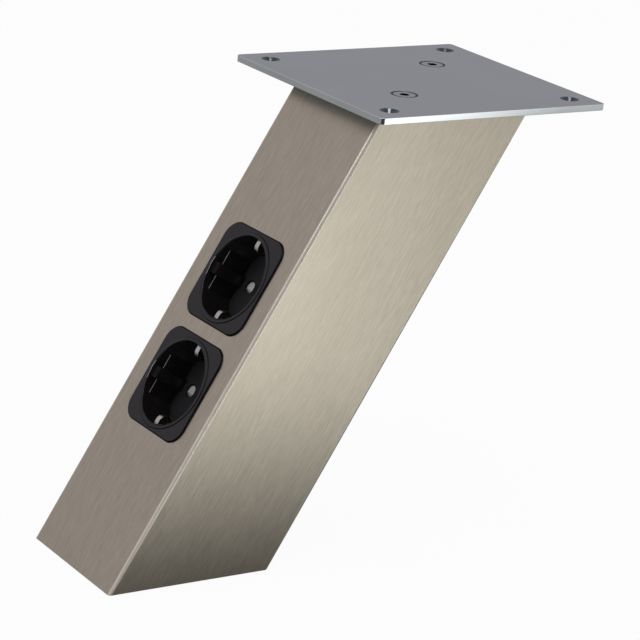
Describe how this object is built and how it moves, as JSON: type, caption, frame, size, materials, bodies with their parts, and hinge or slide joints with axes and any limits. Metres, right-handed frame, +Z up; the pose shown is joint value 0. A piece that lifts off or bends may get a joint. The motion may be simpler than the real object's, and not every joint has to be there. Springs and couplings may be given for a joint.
{
  "type": "counter bracket with sockets",
  "caption": "Leaning square steel post with a square top plate and earthed sockets in its upper face; it carries a raised bar board over a counter.",
  "frame": {"origin": "centre of the post's foot, on the counter, midway between the two tapped fixing holes", "axes": "+Z up; +X the way the post leans, so the socket face looks towards -X and up; +Y across the post"},
  "size_m": [0.2216, 0.12, 0.213],
  "materials": {
    "post_steel": "brushed along the post, satin",
    "plate_steel": "zinc plated, fine satin",
    "welded_steel": "plain milled",
    "screw_steel": "zinc plated, bright",
    "housing_plastic": "fine satin on the flange, glossier in the recess",
    "base_plastic": "moulded, matt",
    "shutter_plastic": "moulded, satin",
    "contact_brass": "stamped",
    "strap_metal": "nickel plated spring bronze",
    "spring_steel": "drawn wire",
    "grommet_rubber": "moulded, matt",
    "brown_insulation": "extruded",
    "blue_insulation": "extruded",
    "green_yellow_insulation": "extruded, two colours"
  },
  "bodies": {
    "post": {"post_tube": "post_steel", "top_anchor": "welded_steel", "top_plate": "plate_steel", "plate_screws": "screw_steel", "foot_plate": "welded_steel", "cable_grommet": "grommet_rubber", "live_link": "brown_insulation", "neutral_link": "blue_insulation", "earth_link": "green_yellow_insulation", "bond_lead": "green_yellow_insulation", "bond_stud": "screw_steel", "bond_washer": "screw_steel", "bond_nut": "screw_steel", "upper_socket_housing": "housing_plastic", "upper_shutter_spring": "spring_steel", "upper_socket_base": "base_plastic", "upper_live_contact": "contact_brass", "upper_neutral_contact": "contact_brass", "upper_earth_strap": "strap_metal", "upper_terminal_screws": "screw_steel", "upper_base_screws": "screw_steel", "lower_socket_housing": "housing_plastic", "lower_shutter_spring": "spring_steel", "lower_socket_base": "base_plastic", "lower_live_contact": "contact_brass", "lower_neutral_contact": "contact_brass", "lower_earth_strap": "strap_metal", "lower_terminal_screws": "screw_steel", "lower_base_screws": "screw_steel"},
    "upper_shutter": {"upper_shutter": "shutter_plastic"},
    "lower_shutter": {"lower_shutter": "shutter_plastic"}
  },
  "joints": [
    {"name": "upper_shutter_slide", "type": "slide", "parent": "post", "child": "upper_shutter", "axis": [0.5, 0, 0.866], "range_m": [0, 0.0056], "stiffness_N_per_m": 60, "springref_m": -0.003, "deforming": ["upper_shutter_spring"]},
    {"name": "lower_shutter_slide", "type": "slide", "parent": "post", "child": "lower_shutter", "axis": [0.5, 0, 0.866], "range_m": [0, 0.0056], "stiffness_N_per_m": 60, "springref_m": -0.003, "deforming": ["lower_shutter_spring"]}
  ]
}
